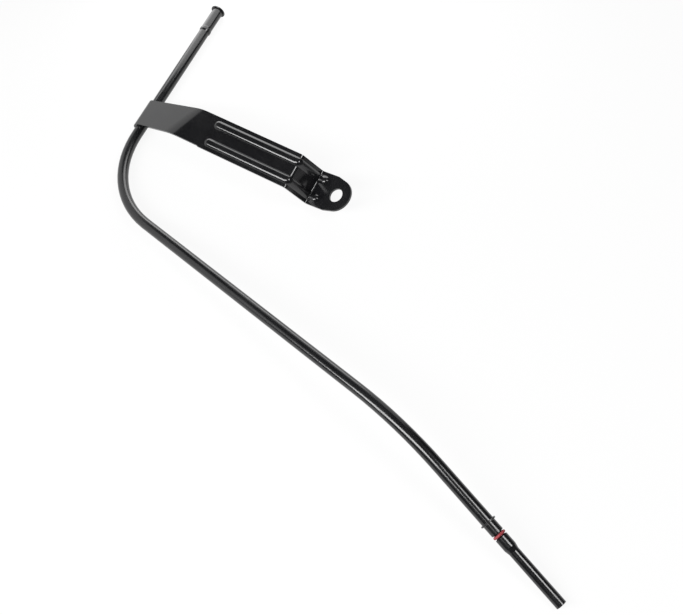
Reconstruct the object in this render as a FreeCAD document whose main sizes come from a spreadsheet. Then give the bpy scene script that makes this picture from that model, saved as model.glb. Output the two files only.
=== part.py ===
import FreeCAD, Part
import Sketcher
import math
import os

# Oil dipstick tube of an engine: a bent steel tube with a mouth at one end and a sealed nose at the other,
# a stamped and folded steel strap that is hooked round the tube and brazed to it, and a rubber O-ring.
# Millimetres and degrees. The tube lies on the ground as it comes to rest, +Z up.

DIMENSIONS = {
    # the tube along its length, from the mouth to the nose
    "tube_diameter": 9.525,
    "tube_wall": 0.9,
    "lip_diameter": 13.6,
    "lip_thickness": 0.9,
    "mouth_chamfer": 0.5,
    "socket_diameter": 10.1,
    "socket_length": 24.0,
    "bead_diameter": 10.8,
    "bead_flank": 1.7,
    "bead_crest": 2.2,
    "first_straight": 158.3,
    "first_bend_radius": 90.0,
    "first_bend_angle": 70.1,
    "middle_straight": 246.8,
    "twist_angle": -106.6,
    "second_bend_radius": 220.0,
    "second_bend_angle": 21.2,
    "last_straight": 48.5,
    "collar_diameter": 12.2,
    "collar_thickness": 1.3,
    "ring_distance": 10.9,
    "ring_section": 2.0,
    "ring_outer_diameter": 10.0,
    "groove_width": 2.4,
    "ring_flat_angle": 60.0,
    "groove_slant": 0.6,
    "swage_distance": 21.4,
    "swage_length": 3.6,
    "nose_diameter": 7.94,
    "nose_length": 45.4,
    # the strap, from the tube to the bolt hole
    "sheet_thickness": 2.0,
    "strap_seat": 137.4,
    "strap_clock": 106.9,
    "strap_lean": 11.9,
    "strap_width": 31.0,
    "root_width": 28.5,
    "root_length": 62.3,
    "hook_wrap": 165.0,
    "crease_skew": 28.3,
    "crease_angle": 27.3,
    "crease_radius": 26.0,
    "edge_step": 0.8,
    "ribbed_length": 111.0,
    "jog_radius": 2.5,
    "jog_down_angle": 60.0,
    "jog_length": 26.2,
    "jog_up_angle": 76.0,
    "hole_distance": 24.0,
    "hole_diameter": 12.0,
    "pad_narrowing": 1.7,
    "pad_taper": 12.5,
    "rib_width": 7.9,
    "rib_height": 2.1,
    "rib_hollow_width": 5.2,
    "rib_spacing": 17.1,
    "rib_start": 29.8,
    "rib_end": 5.4,
    # how it lies: the side of the first straight that faces up, and the way that this straight points
    "upper_side": 82.9,
    "heading": -114.1,
}

FULL_TURN = 360.0
STEEL_DENSITY = 7.85
RUBBER_DENSITY = 1.2
RIM_BEVEL = 0.3          # share of a rim's thickness that each of its two bevels takes
SINK = 0.6               # share of the sheet's thickness that a rib reaches down into it
POINT_SPACING = 0.1      # how closely points on the surface are taken to find the feet
TOUCHING = 1e-6


class Size:
    """A number with the spreadsheet expression that it comes from."""

    def __init__(self, value, text):
        self.value = float(value)
        self.text = text

    def pair(self, other):
        return other if isinstance(other, Size) else Size(other, repr(float(other)))

    def __add__(self, other):
        other = self.pair(other)
        return Size(self.value + other.value, f"({self.text} + {other.text})")

    def __sub__(self, other):
        other = self.pair(other)
        return Size(self.value - other.value, f"({self.text} - {other.text})")

    def __mul__(self, other):
        other = self.pair(other)
        return Size(self.value * other.value, f"({self.text} * {other.text})")

    def __truediv__(self, other):
        other = self.pair(other)
        return Size(self.value / other.value, f"({self.text} / {other.text})")

    def __neg__(self):
        return Size(-self.value, f"(-1 * {self.text})")


def sine(angle):
    return Size(math.sin(math.radians(angle.value)), f"sin({angle.text})")


def cosine(angle):
    return Size(math.cos(math.radians(angle.value)), f"cos({angle.text})")


def tangent(angle):
    return Size(math.tan(math.radians(angle.value)), f"tan({angle.text})")


document = FreeCAD.newDocument("dipstick_tube")
sheet = document.addObject("Spreadsheet::Sheet", "dims")
for row, (alias, number) in enumerate(DIMENSIONS.items(), start=1):
    sheet.set(f"A{row}", alias.replace("_", " "))
    sheet.set(f"B{row}", str(number))
    sheet.setAlias(f"B{row}", alias)
document.recompute()


def dim(alias):
    return Size(sheet.get(alias), f"dims.{alias}")


ZERO = Size(0, "0")


# Frames, sketches and features

def frame_at(origin, along, normal):
    """A frame whose X runs along and whose Z is the normal."""
    side = normal.cross(along)
    return FreeCAD.Placement(origin, FreeCAD.Rotation(along, side, normal, "ZXY"))


def moved(frame, x=0.0, y=0.0, z=0.0):
    return frame.multiply(FreeCAD.Placement(FreeCAD.Vector(x, y, z), FreeCAD.Rotation()))


def turned(frame, axis, angle):
    return frame.multiply(FreeCAD.Placement(FreeCAD.Vector(), FreeCAD.Rotation(axis, angle)))


AXIS_X = FreeCAD.Vector(1, 0, 0)
AXIS_Y = FreeCAD.Vector(0, 1, 0)
AXIS_Z = FreeCAD.Vector(0, 0, 1)


def new_sketch(body, name, frame):
    """A sketch on the body's own XY plane, carried to the frame: the sketch's X and Y are the frame's."""
    ground = next(f for f in body.Origin.OriginFeatures if f.Role == "XY_Plane")
    sketch = body.newObject("Sketcher::SketchObject", name)
    sketch.AttachmentSupport = [(ground, "")]
    sketch.MapMode = "FlatFace"
    sketch.AttachmentOffset = frame
    sketch.Visibility = False
    return sketch


def fix(sketch, kind, arguments, size):
    """Adds a dimension and binds it to the spreadsheet."""
    index = sketch.addConstraint(Sketcher.Constraint(kind, *arguments, size.value))
    if "dims." in size.text:
        sketch.setExpression(f"Constraints[{index}]", size.text)


def arc_about(centre, start, end, side):
    """The arc from start to end about the centre, which lies to its left (side 1) or its right (side -1)."""
    first, last = (start, end) if side > 0 else (end, start)
    angles = [math.atan2(p.y - centre.y, p.x - centre.x) for p in (first, last)]
    return Part.ArcOfCircle(Part.Circle(centre, AXIS_Z, start.sub(centre).Length), angles[0], angles[1])


def draw_outline(sketch, corners, arcs=None):
    """A closed outline through the corners. arcs gives, for a corner's number, the next edge's centre and side."""
    arcs = arcs or {}
    points = [FreeCAD.Vector(x.value, y.value, 0) for x, y in corners]
    ends = []
    for i, start in enumerate(points):
        end = points[(i + 1) % len(points)]
        if i not in arcs:
            ends.append((sketch.addGeometry(Part.LineSegment(start, end), False), 1, 2))
            continue
        x, y, side = arcs[i]
        curve = arc_about(FreeCAD.Vector(x.value, y.value, 0), start, end, side)
        edge = sketch.addGeometry(curve, False)
        ends.append((edge, 1, 2) if side > 0 else (edge, 2, 1))
        upright = abs(end.y - start.y) > abs(end.x - start.x)
        fix(sketch, "DistanceX" if upright else "DistanceY", (-1, 1, edge, 3), x if upright else y)
    for i, (edge, begin, _) in enumerate(ends):
        before, _, finish = ends[i - 1]
        sketch.addConstraint(Sketcher.Constraint("Coincident", before, finish, edge, begin))
        fix(sketch, "DistanceX", (-1, 1, edge, begin), corners[i][0])
        fix(sketch, "DistanceY", (-1, 1, edge, begin), corners[i][1])


def draw_circle(sketch, x, y, diameter):
    centre = FreeCAD.Vector(x.value, y.value, 0)
    edge = sketch.addGeometry(Part.Circle(centre, AXIS_Z, diameter.value / 2), False)
    fix(sketch, "DistanceX", (-1, 1, edge, 3), x)
    fix(sketch, "DistanceY", (-1, 1, edge, 3), y)
    fix(sketch, "Diameter", (edge,), diameter)


def add_pad(body, name, sketch, length, cut=False, both_ways=False):
    """Pads the sketch along its own normal, or cuts the same prism away."""
    feature = body.newObject("PartDesign::Pocket" if cut else "PartDesign::Pad", name)
    feature.Profile = sketch
    feature.Length = length.value
    feature.setExpression("Length", length.text)
    feature.Reversed = cut
    if both_ways:
        feature.SideType = "Symmetric"
    return feature


def add_turn(body, name, sketch, axis, angle, cut=False, backwards=False):
    """Revolves the sketch about its own H_Axis or V_Axis."""
    feature = body.newObject("PartDesign::Groove" if cut else "PartDesign::Revolution", name)
    feature.Profile = sketch
    feature.ReferenceAxis = (sketch, [axis])
    feature.Angle = angle.value
    feature.setExpression("Angle", angle.text)
    feature.Reversed = backwards
    return feature


def new_body(label):
    body = document.addObject("PartDesign::Body", label)
    body.Label = label
    return body


# The tube. Its start frame sits in the mouth's centre, Z down the tube, X to the inside of the first bend.

tube_radius = dim("tube_diameter") / 2
bore_radius = tube_radius - dim("tube_wall")
nose_radius = dim("nose_diameter") / 2
ring_centre = (dim("ring_outer_diameter") - dim("ring_section")) / 2
ring_flat = dim("ring_section") / 2 * sine(dim("ring_flat_angle") / 2)
groove_radius = ring_centre - dim("ring_section") / 2 * cosine(dim("ring_flat_angle") / 2)
full_turn = Size(FULL_TURN, repr(FULL_TURN))


def lengthwise(frame):
    """The frame of a section drawn along the tube: X outwards, Y down the tube."""
    return turned(frame, AXIS_X, 90)


def rim(radius, low, high):
    """The corners of a bevelled rim, from its lower side to its upper one."""
    bevel = (high - low) * RIM_BEVEL
    return [(radius - bevel, low), (radius, low + bevel), (radius, high - bevel), (radius - bevel, high)]


def mouth_profile():
    """The mouth, its socket with a rolled bead at its end, and the first straight, from the axis outwards."""
    wall = dim("tube_wall")
    socket_radius = dim("socket_diameter") / 2
    bead_radius = dim("bead_diameter") / 2
    entry = dim("mouth_chamfer")
    socket_end = dim("socket_length")
    crest = socket_end + dim("bead_flank")
    crest_end = crest + dim("bead_crest")
    bead_end = crest_end + dim("bead_flank")
    return [
        (socket_radius - wall + entry, ZERO),
        *rim(dim("lip_diameter") / 2, ZERO, dim("lip_thickness")),
        (socket_radius, dim("lip_thickness")),
        (socket_radius, socket_end),
        (bead_radius, crest),
        (bead_radius, crest_end),
        (tube_radius, bead_end),
        (tube_radius, dim("first_straight")),
        (bore_radius, dim("first_straight")),
        (bore_radius, bead_end),
        (bead_radius - wall, crest_end),
        (bead_radius - wall, crest),
        (socket_radius - wall, socket_end),
        (socket_radius - wall, entry),
    ]


def nose_profile():
    """The last straight with its collar, the rolled groove of the O-ring, the swage and the nose."""
    wall = dim("tube_wall")
    collar = dim("last_straight")
    collar_half = dim("collar_thickness") / 2
    ring = collar + dim("ring_distance")
    groove_half = dim("groove_width") / 2
    slant = dim("groove_slant")
    swage = collar + dim("swage_distance")
    swage_end = swage + dim("swage_length")
    tip = swage_end + dim("nose_length")
    return [
        (tube_radius, ZERO),
        (tube_radius, collar - collar_half),
        *rim(dim("collar_diameter") / 2, collar - collar_half, collar + collar_half),
        (tube_radius, collar + collar_half),
        (tube_radius, ring - groove_half - slant),
        (groove_radius, ring - groove_half),
        (groove_radius, ring + groove_half),
        (tube_radius, ring + groove_half + slant),
        (tube_radius, swage),
        (nose_radius, swage_end),
        (nose_radius, tip),
        (nose_radius - wall, tip),
        (nose_radius - wall, swage_end),
        (bore_radius, swage),
        (bore_radius, ring + groove_half + slant * 2),
        (groove_radius - wall, ring + groove_half + slant),
        (groove_radius - wall, ring - groove_half - slant),
        (bore_radius, ring - groove_half - slant * 2),
        (bore_radius, ZERO),
    ]


def tube_section(body, name, frame, shift):
    """The ring of the tube's wall, drawn square to it and shifted from the sketch's own Y axis."""
    sketch = new_sketch(body, name, frame)
    draw_circle(sketch, shift, ZERO, dim("tube_diameter"))
    draw_circle(sketch, shift, ZERO, bore_radius * 2)
    return sketch


def tube_bend(body, name, frame, radius, angle):
    """Bends the tube towards the frame's X and gives the frame at the bend's end."""
    axis_frame = moved(frame, x=radius.value)
    add_turn(body, name, tube_section(body, name + "_section", axis_frame, -radius), "V_Axis", angle)
    return moved(turned(axis_frame, AXIS_Y, angle.value), x=-radius.value)


def make_tube():
    body = new_body("tube")
    start = FreeCAD.Placement()
    sketch = new_sketch(body, "mouth_profile", lengthwise(start))
    draw_outline(sketch, mouth_profile())
    add_turn(body, "mouth", sketch, "V_Axis", full_turn)

    frame = moved(start, z=dim("first_straight").value)
    frame = tube_bend(body, "first_bend", frame, dim("first_bend_radius"), dim("first_bend_angle"))

    add_pad(body, "middle", tube_section(body, "middle_section", frame, ZERO), dim("middle_straight"))
    frame = turned(moved(frame, z=dim("middle_straight").value), AXIS_Z, dim("twist_angle").value)
    frame = tube_bend(body, "second_bend", frame, dim("second_bend_radius"), dim("second_bend_angle"))

    sketch = new_sketch(body, "nose_profile", lengthwise(frame))
    draw_outline(sketch, nose_profile())
    add_turn(body, "nose", sketch, "V_Axis", full_turn)
    return body, frame


def make_o_ring(frame):
    """The ring in its groove: a round section, pressed flat where it is stretched over the groove's floor."""
    body = new_body("o_ring")
    middle = dim("last_straight") + dim("ring_distance")
    sketch = new_sketch(body, "ring_profile", lengthwise(frame))
    floor = [(groove_radius, middle - ring_flat), (groove_radius, middle + ring_flat)]
    draw_outline(sketch, floor, {1: (ring_centre, middle, -1)})
    add_turn(body, "ring", sketch, "V_Axis", full_turn)
    return body


# The strap. A frame on it has its origin on the outer face's middle line, X along the strap, Z out of the face.

thickness = dim("sheet_thickness")
strap_width = dim("strap_width")


def root_frame():
    """The strap's frame over the tube's axis, where its flat root leaves the tube."""
    clock = math.radians(dim("strap_clock").value)
    lean = math.radians(dim("strap_lean").value)
    normal = FreeCAD.Vector(math.cos(clock), math.sin(clock), 0)
    square = normal.cross(AXIS_Z)
    along = square * math.cos(lean) + AXIS_Z * math.sin(lean)
    seat = AXIS_Z * dim("strap_seat").value + normal * (tube_radius + thickness).value
    return frame_at(seat, along, normal)


def hook_sketch(body):
    """The hook's section in the plane of the tube's axis: as wide as the root, as thick as the sheet."""
    clock = FreeCAD.Rotation(AXIS_Z, dim("strap_clock").value)
    sketch = new_sketch(body, "hook_section", lengthwise(FreeCAD.Placement(FreeCAD.Vector(), clock)))
    half = dim("root_width") / 2
    low, high = dim("strap_seat") - half, dim("strap_seat") + half
    outer = tube_radius + thickness
    draw_outline(sketch, [(tube_radius, low), (outer, low), (outer, high), (tube_radius, high)])
    return sketch


def crosswise(frame, drop=0.0):
    """The frame of a section drawn square to the strap: X across it, Y out of its face."""
    return turned(turned(moved(frame, z=drop), AXIS_Z, 90), AXIS_X, 90)


def plate_section(body, name, frame, width, shift=ZERO):
    """The sheet's own section, with its outer face at the height of shift."""
    sketch = new_sketch(body, name, frame)
    half = width / 2
    low = shift - thickness
    draw_outline(sketch, [(-half, low), (half, low), (half, shift), (-half, shift)])
    return sketch


def strap_outline(skew, half_fold):
    """The strap's root seen square to the crease's middle plane: corners from the tube to past the crease.
    Its lower edge steps in a little before the ribs."""
    half_root = dim("root_width") / 2
    lean = dim("strap_lean")
    half = strap_width / 2
    low = half - dim("edge_step")
    reach = dim("rib_start") - dim("rib_width")
    flat = [
        (-dim("root_length") - half_root * sine(lean), half_root * cosine(lean)),
        (-dim("root_length") + half_root * sine(lean), -(half_root * cosine(lean))),
        (-(low * tangent(skew)), -low),
        (reach, -low),
        (reach, half),
        (half * tangent(skew), half),
    ]
    across = [(x * cosine(skew) - y * sine(skew), x * sine(skew) + y * cosine(skew)) for x, y in flat]
    return [(x * cosine(half_fold), y) for x, y in across], reach


def make_root(body, crease):
    """The root of the strap: a sheet creased on the skew and trimmed to the strap's outline."""
    skew, fold, inner = dim("crease_skew"), dim("crease_angle"), dim("crease_radius")
    outer = inner + thickness
    setback = outer * tangent(fold / 2)
    wide = (dim("root_length") + strap_width) * 2
    before = turned(crease, AXIS_Z, -skew.value)
    bend_start = moved(before, x=-setback.value)
    bend_end = turned(before, AXIS_Y, fold.value)

    back = crosswise(moved(bend_start, x=-wide.value))
    add_pad(body, "root_plate", plate_section(body, "root_section", back, wide), wide)
    bend = crosswise(bend_start, -outer.value)
    sketch = plate_section(body, "crease_section", bend, wide, outer)
    add_turn(body, "crease", sketch, "H_Axis", fold)
    ahead = crosswise(moved(bend_end, x=setback.value))
    add_pad(body, "ahead_plate", plate_section(body, "ahead_section", ahead, wide), wide)

    corners, reach = strap_outline(skew, fold / 2)
    middle = turned(before, AXIS_Y, fold.value / 2)
    sketch = new_sketch(body, "root_outline", middle)
    draw_outline(sketch, corners)
    draw_outline(sketch, [(-wide * 2, -wide), (wide * 2, -wide), (wide * 2, wide), (-wide * 2, wide)])
    add_pad(body, "root_trim", sketch, wide * 2, cut=True, both_ways=True)
    return turned(bend_end, AXIS_Z, skew.value), reach


def arch(centre, base, width, height, foot):
    """A low arch on a base line, with a foot below it: its corners and its arc."""
    half = width / 2
    radius = (half * half + height * height) / (height * 2)
    corners = [(centre - half, foot), (centre + half, foot), (centre + half, base), (centre - half, base)]
    return corners, {2: (centre, base + height - radius, 1)}


def half_arch(base, width, height, foot):
    """The right half of that arch, which a full turn makes into a rib's round end."""
    half = width / 2
    radius = (half * half + height * height) / (height * 2)
    corners = [(ZERO, foot), (half, foot), (half, base), (ZERO, base + height)]
    return corners, {2: (ZERO, base + height - radius, 1)}


RIB_FORMS = {
    # base below the outer face, width, and foot below that base: the rib's outside, then its hollow at the back
    "rib": (ZERO, dim("rib_width"), thickness * SINK),
    "hollow": (thickness, dim("rib_hollow_width"), thickness * SINK),
}


def draw_ribs(body, name, form, frame, shift=ZERO):
    """Both ribs' sections, or both hollows', in one sketch square to the strap."""
    drop, width, foot = RIB_FORMS[form]
    sketch = new_sketch(body, name, frame)
    for side in (-1, 1):
        base = shift - drop
        draw_outline(sketch, *arch(dim("rib_spacing") / 2 * side, base, width, dim("rib_height"), base - foot))
    return sketch


def rib_ends(body, name, form, frame):
    """The ribs' round ends at the frame's origin."""
    drop, width, foot = RIB_FORMS[form]
    for side, word in ((-1, "low"), (1, "high")):
        centre = moved(frame, y=side * dim("rib_spacing").value / 2)
        sketch = new_sketch(body, f"{name}_{word}_section", turned(centre, AXIS_X, 90))
        draw_outline(sketch, *half_arch(-drop, width, dim("rib_height"), -drop - foot))
        add_turn(body, f"{name}_{word}", sketch, "V_Axis", full_turn, cut=form == "hollow")


def strap_runs(ribbed):
    """The straight and bent lengths after the crease: name, frame, length or angle, axis height, from the root."""
    inner = dim("jog_radius")
    outer = inner + thickness
    down, up = dim("jog_down_angle"), dim("jog_up_angle")
    down_setback, up_setback = outer * tangent(down / 2), inner * tangent(up / 2)
    corner = moved(ribbed, x=dim("ribbed_length").value)
    jog = turned(corner, AXIS_Y, down.value)
    pad = turned(moved(jog, x=dim("jog_length").value), AXIS_Y, -up.value)
    return {
        "ribbed": ribbed,
        "ribbed_end": dim("ribbed_length") - down_setback,
        "down": (moved(corner, x=-down_setback.value), down, -outer),
        "jog": (moved(jog, x=down_setback.value), dim("jog_length") - down_setback - up_setback),
        "up": (moved(jog, x=(dim("jog_length") - up_setback).value), up, inner),
        "pad": pad,
        "pad_start": up_setback,
    }


def make_length(body, runs, name, start, end_on_pad, section, cut=False):
    """One section carried along the ribbed flat, the jog and the start of the pad."""
    ribbed = runs["ribbed"]
    sketch = section(f"{name}_flat_section", crosswise(moved(ribbed, x=start.value)), ZERO)
    add_pad(body, f"{name}_flat", sketch, runs["ribbed_end"] - start, cut=cut)
    for word in ("down", "up"):
        frame, angle, height = runs[word]
        sketch = section(f"{name}_{word}_section", crosswise(frame, height.value), -height)
        add_turn(body, f"{name}_{word}", sketch, "H_Axis", angle, cut=cut, backwards=word == "up")
        if word == "down":
            frame, length = runs["jog"]
            sketch = section(f"{name}_jog_section", crosswise(frame), ZERO)
            add_pad(body, f"{name}_jog", sketch, length, cut=cut)
    if end_on_pad:
        frame = moved(runs["pad"], x=runs["pad_start"].value)
        sketch = section(f"{name}_pad_section", crosswise(frame), ZERO)
        add_pad(body, f"{name}_pad", sketch, end_on_pad - runs["pad_start"], cut=cut)


def make_pad(body, runs):
    """The end that is bolted down: its sides run in to a round end about the bolt hole."""
    taper = dim("pad_taper")
    half = strap_width / 2
    radius = half - dim("pad_narrowing")
    hole = dim("hole_distance")
    touch_x, touch_y = hole + radius * sine(taper), radius * cosine(taper)
    shoulder = touch_x - (half - touch_y) / tangent(taper)
    start = runs["pad_start"]
    corners = [(start, -half), (shoulder, -half), (touch_x, -touch_y), (touch_x, touch_y), (shoulder, half),
               (start, half)]
    sketch = new_sketch(body, "pad_outline", moved(runs["pad"], z=-thickness.value))
    draw_outline(sketch, corners, {2: (hole, ZERO, 1)})
    draw_circle(sketch, hole, ZERO, dim("hole_diameter"))
    add_pad(body, "bolt_pad", sketch, thickness)


def make_bracket():
    body = new_body("bracket")
    crease = moved(root_frame(), x=dim("root_length").value)
    ribbed, reach = make_root(body, crease)
    add_turn(body, "hook", hook_sketch(body), "V_Axis", dim("hook_wrap"))

    runs = strap_runs(ribbed)

    def sheet_section(name, frame, shift):
        return plate_section(body, name, frame, strap_width, shift)

    make_length(body, runs, "sheet", reach, None, sheet_section)
    make_pad(body, runs)
    for form in RIB_FORMS:
        def form_section(name, frame, shift, form=form):
            return draw_ribs(body, name, form, frame, shift)

        cut = form == "hollow"
        make_length(body, runs, form, dim("rib_start"), dim("rib_end"), form_section, cut)
        rib_ends(body, f"{form}_start", form, moved(ribbed, x=dim("rib_start").value))
        rib_ends(body, f"{form}_end", form, moved(runs["pad"], x=dim("rib_end").value))
    return body


# How the part lies

def angle_to_ground(point, pivot, ahead):
    """How far the part must tip about the pivot before this point, ahead of it, meets the ground."""
    reach = point.sub(pivot)
    return math.atan2(max(reach.z, 0.0), reach.dot(ahead))


def tip_over(points, centre, first, second):
    """Tips the part about one or two standing points, towards its centre of mass, until another one lands."""
    pivot = points[first]
    ahead = centre.sub(pivot)
    ahead.z = 0
    if second is not None:
        line = points[second].sub(pivot)
        line.normalize()
        ahead = ahead.sub(line.multiply(ahead.dot(line)))
    ahead.normalize()
    standing = (first, second)
    free = [i for i in range(len(points)) if i not in standing and points[i].sub(pivot).dot(ahead) > TOUCHING]
    landed = min(free, key=lambda i: angle_to_ground(points[i], pivot, ahead))
    turn = FreeCAD.Rotation(AXIS_Z.cross(ahead), math.degrees(angle_to_ground(points[landed], pivot, ahead)))
    return landed, FreeCAD.Placement(pivot.sub(turn.multVec(pivot)), turn)


def lean_edge(points, centre, feet):
    """The edge of the three feet that the centre of mass lies outside of, or None when the part is steady."""
    for i in range(3):
        a, b, c = feet[i], feet[(i + 1) % 3], feet[(i + 2) % 3]
        edge = points[b].sub(points[a])
        inward = AXIS_Z.cross(edge)
        if inward.dot(points[c].sub(points[a])) * inward.dot(centre.sub(points[a])) < 0:
            return a, b
    return None


def resting_placement(weights):
    """Lays the part down by tipping it, foot by foot, until its centre of mass lies over its three feet."""
    points = [p for solid, _ in weights for p in solid.tessellate(POINT_SPACING)[0]]
    masses = [solid.Volume * density for solid, density in weights]
    centre = FreeCAD.Vector()
    for (solid, _), mass in zip(weights, masses):
        centre += solid.CenterOfMass * (mass / sum(masses))

    clock, heading = math.radians(dim("upper_side").value), math.radians(dim("heading").value)
    upper = FreeCAD.Vector(math.cos(clock), math.sin(clock), 0)
    ahead = FreeCAD.Vector(math.cos(heading), math.sin(heading), 0)
    own = frame_at(FreeCAD.Vector(), AXIS_Z, upper)
    place = frame_at(FreeCAD.Vector(), ahead, AXIS_Z).multiply(own.inverse())

    laid = [place.multVec(p) for p in points]
    first = min(range(len(laid)), key=lambda i: laid[i].z)
    feet, edge = None, (first, None)
    while edge:
        landed, step = tip_over(laid, place.multVec(centre), *edge)
        place = step.multiply(place)
        laid = [place.multVec(p) for p in points]
        if edge[1] is None:
            edge = (edge[0], landed)
            continue
        feet = (*edge, landed)
        edge = lean_edge(laid, place.multVec(centre), feet)
    for foot in feet:
        print("rests at", [round(v, 1) for v in laid[foot]])
    return place


def stand_on_ground(bodies, place):
    """Gives the bodies their placement, with the ground at z = 0 under the middle of the part."""
    for body in bodies:
        body.Placement = place
    document.recompute()
    box = Part.makeCompound([body.Shape for body in bodies]).optimalBoundingBox(False, False)
    shift = FreeCAD.Vector(-box.Center.x, -box.Center.y, -box.ZMin)
    for body in bodies:
        body.Placement = FreeCAD.Placement(shift, FreeCAD.Rotation()).multiply(place)
    document.recompute()


def check(body):
    """Stops when a feature has failed or the shape is no sound solid."""
    for thing in document.Objects:
        if "Invalid" in thing.State or "Error" in thing.State:
            raise RuntimeError(f"{thing.Name}: {thing.State}")
    shape = body.Shape
    if shape.isNull() or not shape.isValid() or len(shape.Solids) != 1:
        raise RuntimeError(f"{body.Label}: not one sound solid")
    print(body.Label, "volume", round(shape.Volume, 1), "mm3, faces", len(shape.Faces))


tube, nose_frame = make_tube()
o_ring = make_o_ring(nose_frame)
bracket = make_bracket()
document.recompute()
bodies = (tube, bracket, o_ring)
for body in bodies:
    check(body)

densities = (STEEL_DENSITY, STEEL_DENSITY, RUBBER_DENSITY)
weights = [(body.Shape.Solids[0], density) for body, density in zip(bodies, densities)]
stand_on_ground(bodies, resting_placement(weights))
for body in bodies:
    check(body)

os.makedirs("parts", exist_ok=True)
for body in bodies:
    body.Shape.exportStep(f"parts/{body.Label}.step")
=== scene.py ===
# %% [markdown]
# # Oil dipstick tube
# The part is a bent steel tube that guides an oil dipstick down into an engine. A folded strap holds it,
# and a red rubber ring seals its nose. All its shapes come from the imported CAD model, which is loaded
# here as a fixed frame. This lesson gives them the finishes that the real part has, and a small studio.

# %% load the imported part
import math

import bmesh
import bpy
from mathutils import Matrix, Quaternion, Vector


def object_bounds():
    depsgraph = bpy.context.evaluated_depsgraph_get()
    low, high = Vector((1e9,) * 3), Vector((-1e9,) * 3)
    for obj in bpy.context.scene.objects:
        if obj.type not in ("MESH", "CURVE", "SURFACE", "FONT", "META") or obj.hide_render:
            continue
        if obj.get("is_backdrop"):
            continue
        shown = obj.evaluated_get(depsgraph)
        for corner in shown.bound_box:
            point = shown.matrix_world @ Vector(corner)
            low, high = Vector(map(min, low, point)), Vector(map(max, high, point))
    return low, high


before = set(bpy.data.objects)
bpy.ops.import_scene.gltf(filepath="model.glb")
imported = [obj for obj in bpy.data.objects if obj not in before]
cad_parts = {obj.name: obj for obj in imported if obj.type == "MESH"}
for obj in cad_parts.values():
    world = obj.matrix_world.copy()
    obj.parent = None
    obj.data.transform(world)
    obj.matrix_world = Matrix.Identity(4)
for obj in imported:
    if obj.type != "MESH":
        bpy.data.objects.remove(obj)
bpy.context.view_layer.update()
print("nodes:", ", ".join(sorted(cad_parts)))

# %% [markdown]
# A finish is a small network of nodes, and a few helpers keep the networks readable. They start a
# material with its main shader, add a node, wire two nodes, and make a noise that is measured in metres
# on the part itself. Object coordinates are used, so the pattern stays on the metal from every side and
# at its real size.

# %% helpers for finishes
def new_finish(name):
    """A material with a Principled shader, and that shader."""
    finish = bpy.data.materials.new(name)
    finish.use_nodes = True
    return finish, finish.node_tree.nodes["Principled BSDF"]


def add_node(finish, kind, **settings):
    """A node of this kind with these settings."""
    node = finish.node_tree.nodes.new(kind)
    for key, value in settings.items():
        setattr(node, key, value)
    return node


def join(finish, output, socket):
    """A wire from an output to an input."""
    finish.node_tree.links.new(output, socket)


def grain(finish, size, detail=3.0, roughness=0.5):
    """A noise whose lumps are about this many metres across, fixed to the part."""
    place = add_node(finish, "ShaderNodeTexCoord")
    noise = add_node(finish, "ShaderNodeTexNoise")
    noise.inputs["Scale"].default_value = 1.0 / size
    noise.inputs["Detail"].default_value = detail
    noise.inputs["Roughness"].default_value = roughness
    join(finish, place.outputs["Object"], noise.inputs["Vector"])
    return noise.outputs["Fac"]


def spread(finish, value, low, high, out_low, out_high):
    """The value's range low to high stretched to out_low to out_high, with soft ends."""
    ramp = add_node(finish, "ShaderNodeMapRange", interpolation_type="SMOOTHSTEP")
    join(finish, value, ramp.inputs["Value"])
    ramp.inputs["From Min"].default_value = low
    ramp.inputs["From Max"].default_value = high
    ramp.inputs["To Min"].default_value = out_low
    ramp.inputs["To Max"].default_value = out_high
    return ramp.outputs["Result"]


def blend_colours(finish, share, first, second):
    """The first colour turning into the second as the share goes from 0 to 1."""
    mix = add_node(finish, "ShaderNodeMix", data_type="RGBA")
    join(finish, share, mix.inputs["Factor"])
    for socket, colour in ((mix.inputs["A"], first), (mix.inputs["B"], second)):
        if isinstance(colour, tuple):
            socket.default_value = (*colour, 1.0)
        else:
            join(finish, colour, socket)
    return mix.outputs["Result"]


def bumps(finish, *layers):
    """Bump nodes one after another, each a height with its depth in metres."""
    normal = None
    for height, depth in layers:
        bump = add_node(finish, "ShaderNodeBump")
        bump.inputs["Strength"].default_value = 1.0
        bump.inputs["Distance"].default_value = depth
        join(finish, height, bump.inputs["Height"])
        if normal is not None:
            join(finish, normal, bump.inputs["Normal"])
        normal = bump.outputs["Normal"]
    return normal


print("helpers ready: new_finish, add_node, join, grain, spread, blend_colours, bumps")

# %% [markdown]
# The tube and the strap are dipped or sprayed in gloss black enamel after brazing. Such a coat is nearly
# black, its gloss is clean, and it has a slight orange peel: soft waves 3 or 4 mm across and a few
# thousandths of a millimetre high. Handling leaves faint dull clouds, and fine dust makes a few places
# a little greyer. The strap is rolled sheet and not drawn tube, so its waves are a little deeper.

# %% gloss black enamel
CLEAN_BLACK = (0.0062, 0.0063, 0.0072)
HANDLED_BLACK = (0.0105, 0.0106, 0.0115)
DUST_GREY = (0.019, 0.019, 0.0195)
CLOUD_SIZE = 0.028
DUST_SIZE = 0.0011
GRIT_SIZE = 0.00045


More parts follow.
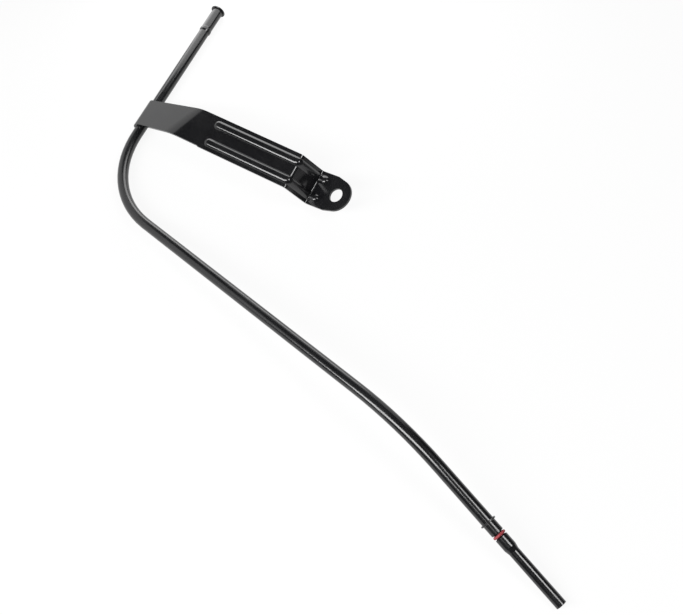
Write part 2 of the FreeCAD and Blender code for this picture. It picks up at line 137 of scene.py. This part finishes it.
def black_enamel(name, peel_size, peel_depth, grit_depth, gloss, dull):
    """Gloss enamel with orange peel, handling clouds and a trace of dust."""
    finish, shader = new_finish(name)
    clouds = grain(finish, CLOUD_SIZE, detail=4.0, roughness=0.6)
    dust = spread(finish, grain(finish, DUST_SIZE, detail=5.0, roughness=0.7), 0.52, 0.78, 0.0, 1.0)
    handled = spread(finish, clouds, 0.4, 0.72, 0.0, 1.0)
    worn = blend_colours(finish, handled, CLEAN_BLACK, HANDLED_BLACK)
    coat = blend_colours(finish, dust, worn, DUST_GREY)
    join(finish, coat, shader.inputs["Base Color"])
    join(finish, spread(finish, clouds, 0.35, 0.75, gloss, dull), shader.inputs["Roughness"])
    peel = grain(finish, peel_size, detail=1.5, roughness=0.4)
    grit = grain(finish, GRIT_SIZE, detail=2.0, roughness=0.5)
    join(finish, bumps(finish, (peel, peel_depth), (grit, grit_depth)), shader.inputs["Normal"])
    shader.inputs["IOR"].default_value = 1.5
    shader.inputs["Specular IOR Level"].default_value = 0.6
    return finish


tube_enamel = black_enamel("tube enamel, gloss black", peel_size=0.0038, peel_depth=2.5e-6,
                           grit_depth=1e-7, gloss=0.16, dull=0.24)
strap_enamel = black_enamel("strap enamel, gloss black", peel_size=0.003, peel_depth=6e-6,
                            grit_depth=5e-7, gloss=0.13, dull=0.22)
print("made", tube_enamel.name, "and", strap_enamel.name)

# %% [markdown]
# The seal at the nose is a moulded ring of dark red rubber. Rubber is satin and not glossy: it scatters
# most light, has a fine matte grain from its mould, and carries a thin bloom of grey dust.

# %% dark red rubber
DEEP_RED = (0.30, 0.033, 0.042)
BLOOMED_RED = (0.36, 0.09, 0.10)
BLOOM_SIZE = 0.0016
MOULD_GRAIN = 0.00018
MOULD_DEPTH = 6e-6


def ring_rubber(name):
    """Satin red rubber with a fine grain and some bloom."""
    finish, shader = new_finish(name)
    bloom = spread(finish, grain(finish, BLOOM_SIZE, detail=4.0, roughness=0.65), 0.45, 0.8, 0.0, 0.6)
    join(finish, blend_colours(finish, bloom, DEEP_RED, BLOOMED_RED), shader.inputs["Base Color"])
    fine = grain(finish, MOULD_GRAIN, detail=3.0)
    join(finish, spread(finish, fine, 0.3, 0.7, 0.38, 0.55), shader.inputs["Roughness"])
    join(finish, bumps(finish, (fine, MOULD_DEPTH)), shader.inputs["Normal"])
    shader.inputs["Specular IOR Level"].default_value = 0.4
    return finish


red_rubber = ring_rubber("seal rubber, dark red")
print("made", red_rubber.name)

# %% [markdown]
# A node's object keeps its mesh from the CAD model. Only what is in its material slots changes here.

# %% put the finishes on the solids
def wear(node, finish):
    """Every material slot of a CAD node gets this finish."""
    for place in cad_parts[node].material_slots:
        place.material = finish
    print(node, "wears", finish.name)


wear("tube", tube_enamel)
wear("bracket", strap_enamel)
wear("o_ring", red_rubber)

# %% [markdown]
# The part lies on a plain pale table. The table's sheet is a round of mesh that is far wider than the
# picture. Its own colour is a soft white. To the camera, to reflections and through glass it is mostly
# plain white, as in a catalogue, and what is left of its own shading carries the part's soft shadow.

# %% the table
TABLE_GREY = 0.86
TABLE_DROP = 0.0002
WHITE_PART = 0.9


def white_share(finish, share):
    """The share for camera, mirror and glass rays, and 0 for the rays that light the part."""
    path = add_node(finish, "ShaderNodeLightPath")
    either = path.outputs["Is Camera Ray"]
    for name in ("Is Glossy Ray", "Is Transmission Ray"):
        more = add_node(finish, "ShaderNodeMath", operation="MAXIMUM")
        join(finish, either, more.inputs[0])
        join(finish, path.outputs[name], more.inputs[1])
        either = more.outputs["Value"]
    part = add_node(finish, "ShaderNodeMath", operation="MULTIPLY")
    join(finish, either, part.inputs[0])
    part.inputs[1].default_value = share
    return part.outputs["Value"]


def table_top(radius, rings, sides):
    """A flat round sheet of mesh just under the part."""
    sheet = bmesh.new()
    centre = sheet.verts.new((0.0, 0.0, 0.0))
    inner = []
    for ring in range(1, rings + 1):
        reach = radius * (ring / rings) ** 2
        turns = [2 * math.pi * side / sides for side in range(sides)]
        outer = [sheet.verts.new((reach * math.cos(turn), reach * math.sin(turn), 0.0)) for turn in turns]
        for side in range(sides):
            after = (side + 1) % sides
            if inner:
                sheet.faces.new((inner[side], outer[side], outer[after], inner[after]))
            else:
                sheet.faces.new((centre, outer[side], outer[after]))
        inner = outer
    mesh = bpy.data.meshes.new("table")
    sheet.to_mesh(mesh)
    sheet.free()
    table = bpy.data.objects.new("table", mesh)
    bpy.context.scene.collection.objects.link(table)
    table.location.z = -TABLE_DROP
    return table


table = table_top(radius=6.0, rings=6, sides=64)
table_white, own_shader = new_finish("table, soft white")
own_shader.inputs["Base Color"].default_value = (TABLE_GREY, TABLE_GREY, TABLE_GREY, 1.0)
own_shader.inputs["Roughness"].default_value = 0.8
own_shader.inputs["Specular IOR Level"].default_value = 0.1
glow = add_node(table_white, "ShaderNodeEmission")
glow.inputs["Strength"].default_value = 1.0
both = add_node(table_white, "ShaderNodeMixShader")
join(table_white, white_share(table_white, WHITE_PART), both.inputs["Fac"])
join(table_white, own_shader.outputs["BSDF"], both.inputs[1])
join(table_white, glow.outputs["Emission"], both.inputs[2])
surface = table_white.node_tree.nodes["Material Output"].inputs["Surface"]
join(table_white, both.outputs["Shader"], surface)
table.data.materials.append(table_white)
table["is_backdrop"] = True
print("table", round(table.dimensions.x, 1), "m wide, its top", round(table.location.z * 1000, 2), "mm")

# %% [markdown]
# The studio is white where one looks, and dim grey as a light, so the lamps shape the part. The world
# uses the same three kinds of rays as the table does.

# %% the studio's air
AIR_LIGHT = 0.08

studio = bpy.data.worlds.new("studio")
bpy.context.scene.world = studio
studio.use_nodes = True
air = studio.node_tree.nodes["Background"]
air.inputs["Color"].default_value = (1.0, 1.0, 1.0, 1.0)
strength = add_node(studio, "ShaderNodeMapRange")
join(studio, white_share(studio, 1.0), strength.inputs["Value"])
strength.inputs["To Min"].default_value = AIR_LIGHT
strength.inputs["To Max"].default_value = 1.0
join(studio, strength.outputs["Result"], air.inputs["Strength"])
print("studio air: 1.0 where one looks,", AIR_LIGHT, "as light")

# %% [markdown]
# Gloss black shows what stands around it, so a photographer shapes it with dark cloth as much as with
# lamps. A dark curtain hangs on the right and in front, a low screen stands nearer on the right, and a
# grey ceiling is over the table. A small dark flag hangs over the first bend and keeps the strap's pad
# dark. The left and the back stay open and white, which shows in the strap's flat root and on the tube.

# %% curtain and ceiling
PAD = Vector((0.02, 0.05, 0.02))
FOLD_DEPTH = 0.02
FOLD_TURN = 1.9


def sheet_of(name, corners, faces):
    """An object with these corners and faces."""
    mesh = bpy.data.meshes.new(name)
    mesh.from_pydata(corners, [], faces)
    thing = bpy.data.objects.new(name, mesh)
    bpy.context.scene.collection.objects.link(thing)
    return thing


def compass(azimuth, elevation, distance):
    """A point seen at this azimuth, clockwise from +Y, and elevation in degrees."""
    turn, rise = math.radians(azimuth), math.radians(elevation)
    level = math.cos(rise)
    return Vector((math.sin(turn) * level, math.cos(turn) * level, math.sin(rise))) * distance


def curtain(name, first, last, radius, height, steps):
    """A standing curtain along an arc of the compass, with soft folds."""
    corners = []
    for step in range(steps + 1):
        azimuth = first + (last - first) * step / steps
        fold = radius * (1.0 + FOLD_DEPTH * math.sin(step * FOLD_TURN))
        foot = compass(azimuth, 0.0, fold)
        corners += [(foot.x, foot.y, 0.0), (foot.x, foot.y, height)]
    faces = [(2 * step, 2 * step + 2, 2 * step + 3, 2 * step + 1) for step in range(steps)]
    return sheet_of(name, corners, faces)


def ceiling(name, radius, height, sides):
    """A round ceiling over the table."""
    lift = Vector((0.0, 0.0, height))
    corners = [compass(360.0 * side / sides, 0.0, radius) + lift for side in range(sides)]
    return sheet_of(name, corners, [tuple(range(sides))])


def flag(name, place, azimuth, elevation, distance, width, height):
    """A small upright card that hides one direction from what is at this place."""
    middle = place + compass(azimuth, elevation, distance)
    side = compass(azimuth + 90.0, 0.0, width / 2)
    rise = Vector((0.0, 0.0, height / 2))
    corners = [middle - side - rise, middle + side - rise, middle + side + rise, middle - side + rise]
    return sheet_of(name, corners, [(0, 1, 2, 3)])


def cloth(name, grey):
    """A dull cloth of this grey."""
    finish, shader = new_finish(name)
    shader.inputs["Base Color"].default_value = (grey, grey, grey, 1.0)
    shader.inputs["Roughness"].default_value = 0.95
    shader.inputs["Specular IOR Level"].default_value = 0.1
    return finish


dark_cloth = cloth("curtain cloth, dark", 0.08)
hangings = (
    (curtain("curtain", 40.0, 258.0, radius=2.4, height=2.3, steps=90), dark_cloth),
    (curtain("low screen", 48.0, 172.0, radius=0.62, height=0.26, steps=50), dark_cloth),
    (flag("flag", PAD, -57.0, 37.0, distance=0.32, width=0.20, height=0.15), dark_cloth),
    (ceiling("ceiling", radius=2.45, height=2.3, sides=48), cloth("ceiling cloth, grey", 0.4)),
)
for hanging, finish in hangings:
    hanging.data.materials.append(finish)
    hanging.visible_camera = False
    hanging.visible_diffuse = False
    hanging.visible_shadow = False
    hanging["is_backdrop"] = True
    print(hanging.name, "up to", round(max(corner[2] for corner in hanging.bound_box), 2), "m")

# %% [markdown]
# Three soft lamps make the highlights. Their places follow from the photograph: where a bright line
# lies on a round tube says in which direction its lamp hangs. A long lamp on the left draws the line on
# the middle of the tube and lights the lower flanks of the strap's ribs. A small one over the front
# right draws the line on the nose. A low, tilted card of light close behind the part lights the upper
# tube and the inner side of the first bend. A lamp's shine is what its face shows, where 1 is
# white, so its power is shine times area times pi.

# %% the lamps
SECOND_BEND = Vector((0.07, -0.16, 0.04))
NOSE = Vector((0.12, -0.23, 0.02))
MIDDLE = Vector((0.0, 0.0, 0.06))


def soft_lamp(name, target, first, last, distance, depth, shine):
    """A rectangle of light that faces the target and spans from one direction to another."""
    start, end = [target + compass(*direction, distance) for direction in (first, last)]
    place = (start + end) / 2
    across = end - start
    light = bpy.data.lights.new(name, "AREA")
    light.shape = "RECTANGLE"
    light.size, light.size_y = across.length, depth
    light.energy = shine * math.pi * light.size * light.size_y
    lamp = bpy.data.objects.new(name, light)
    bpy.context.scene.collection.objects.link(lamp)
    back = (place - target).normalized()
    across = (across - back * across.dot(back)).normalized()
    turn = Matrix((across, back.cross(across), back)).transposed().to_4x4()
    lamp.matrix_world = Matrix.Translation(place) @ turn
    lamp.visible_camera = False
    print(name, "at", [round(value, 2) for value in place],
          "size", round(light.size, 2), "by", depth, "m, power", round(light.energy, 1), "W")


soft_lamp("left lamp", SECOND_BEND, (-102.0, 24.0), (-154.0, 60.0), distance=1.3, depth=0.38, shine=13.0)
soft_lamp("front lamp", NOSE, (78.0, 60.0), (122.0, 61.0), distance=1.3, depth=0.36, shine=12.0)
soft_lamp("card behind", MIDDLE, (-31.0, 2.0), (31.0, 22.0), distance=0.4, depth=0.17, shine=2.7)

# %% [markdown]
# The camera stands in front and above, and looks down at the lying part, as in the photograph. Its
# place and its lens were solved from points of the part that the photograph shows.

# %% the camera
camera = bpy.data.cameras.new("camera")
camera.sensor_fit = "HORIZONTAL"
camera.sensor_width = 36.0
camera.lens = 52.709
viewer = bpy.data.objects.new("camera", camera)
bpy.context.scene.collection.objects.link(viewer)
viewer.location = (0.089077, -0.435541, 0.680856)
viewer.rotation_mode = "QUATERNION"
viewer.rotation_quaternion = Quaternion((0.965588, 0.255393, 0.047132, -0.013908))
bpy.context.scene.camera = viewer
print("camera", [round(value, 3) for value in viewer.location], "lens", camera.lens, "mm")

# %% [markdown]
# A colour is shown as it is written, with no film look on top. The box of the dressed part is measured
# and printed.

# %% view and sizes
bpy.context.scene.view_settings.view_transform = "Standard"
dressed_box = [list(corner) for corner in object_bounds()]
in_mm = [[round(value * 1000, 1) for value in corner] for corner in dressed_box]
print("box of the dressed part, mm:", in_mm)
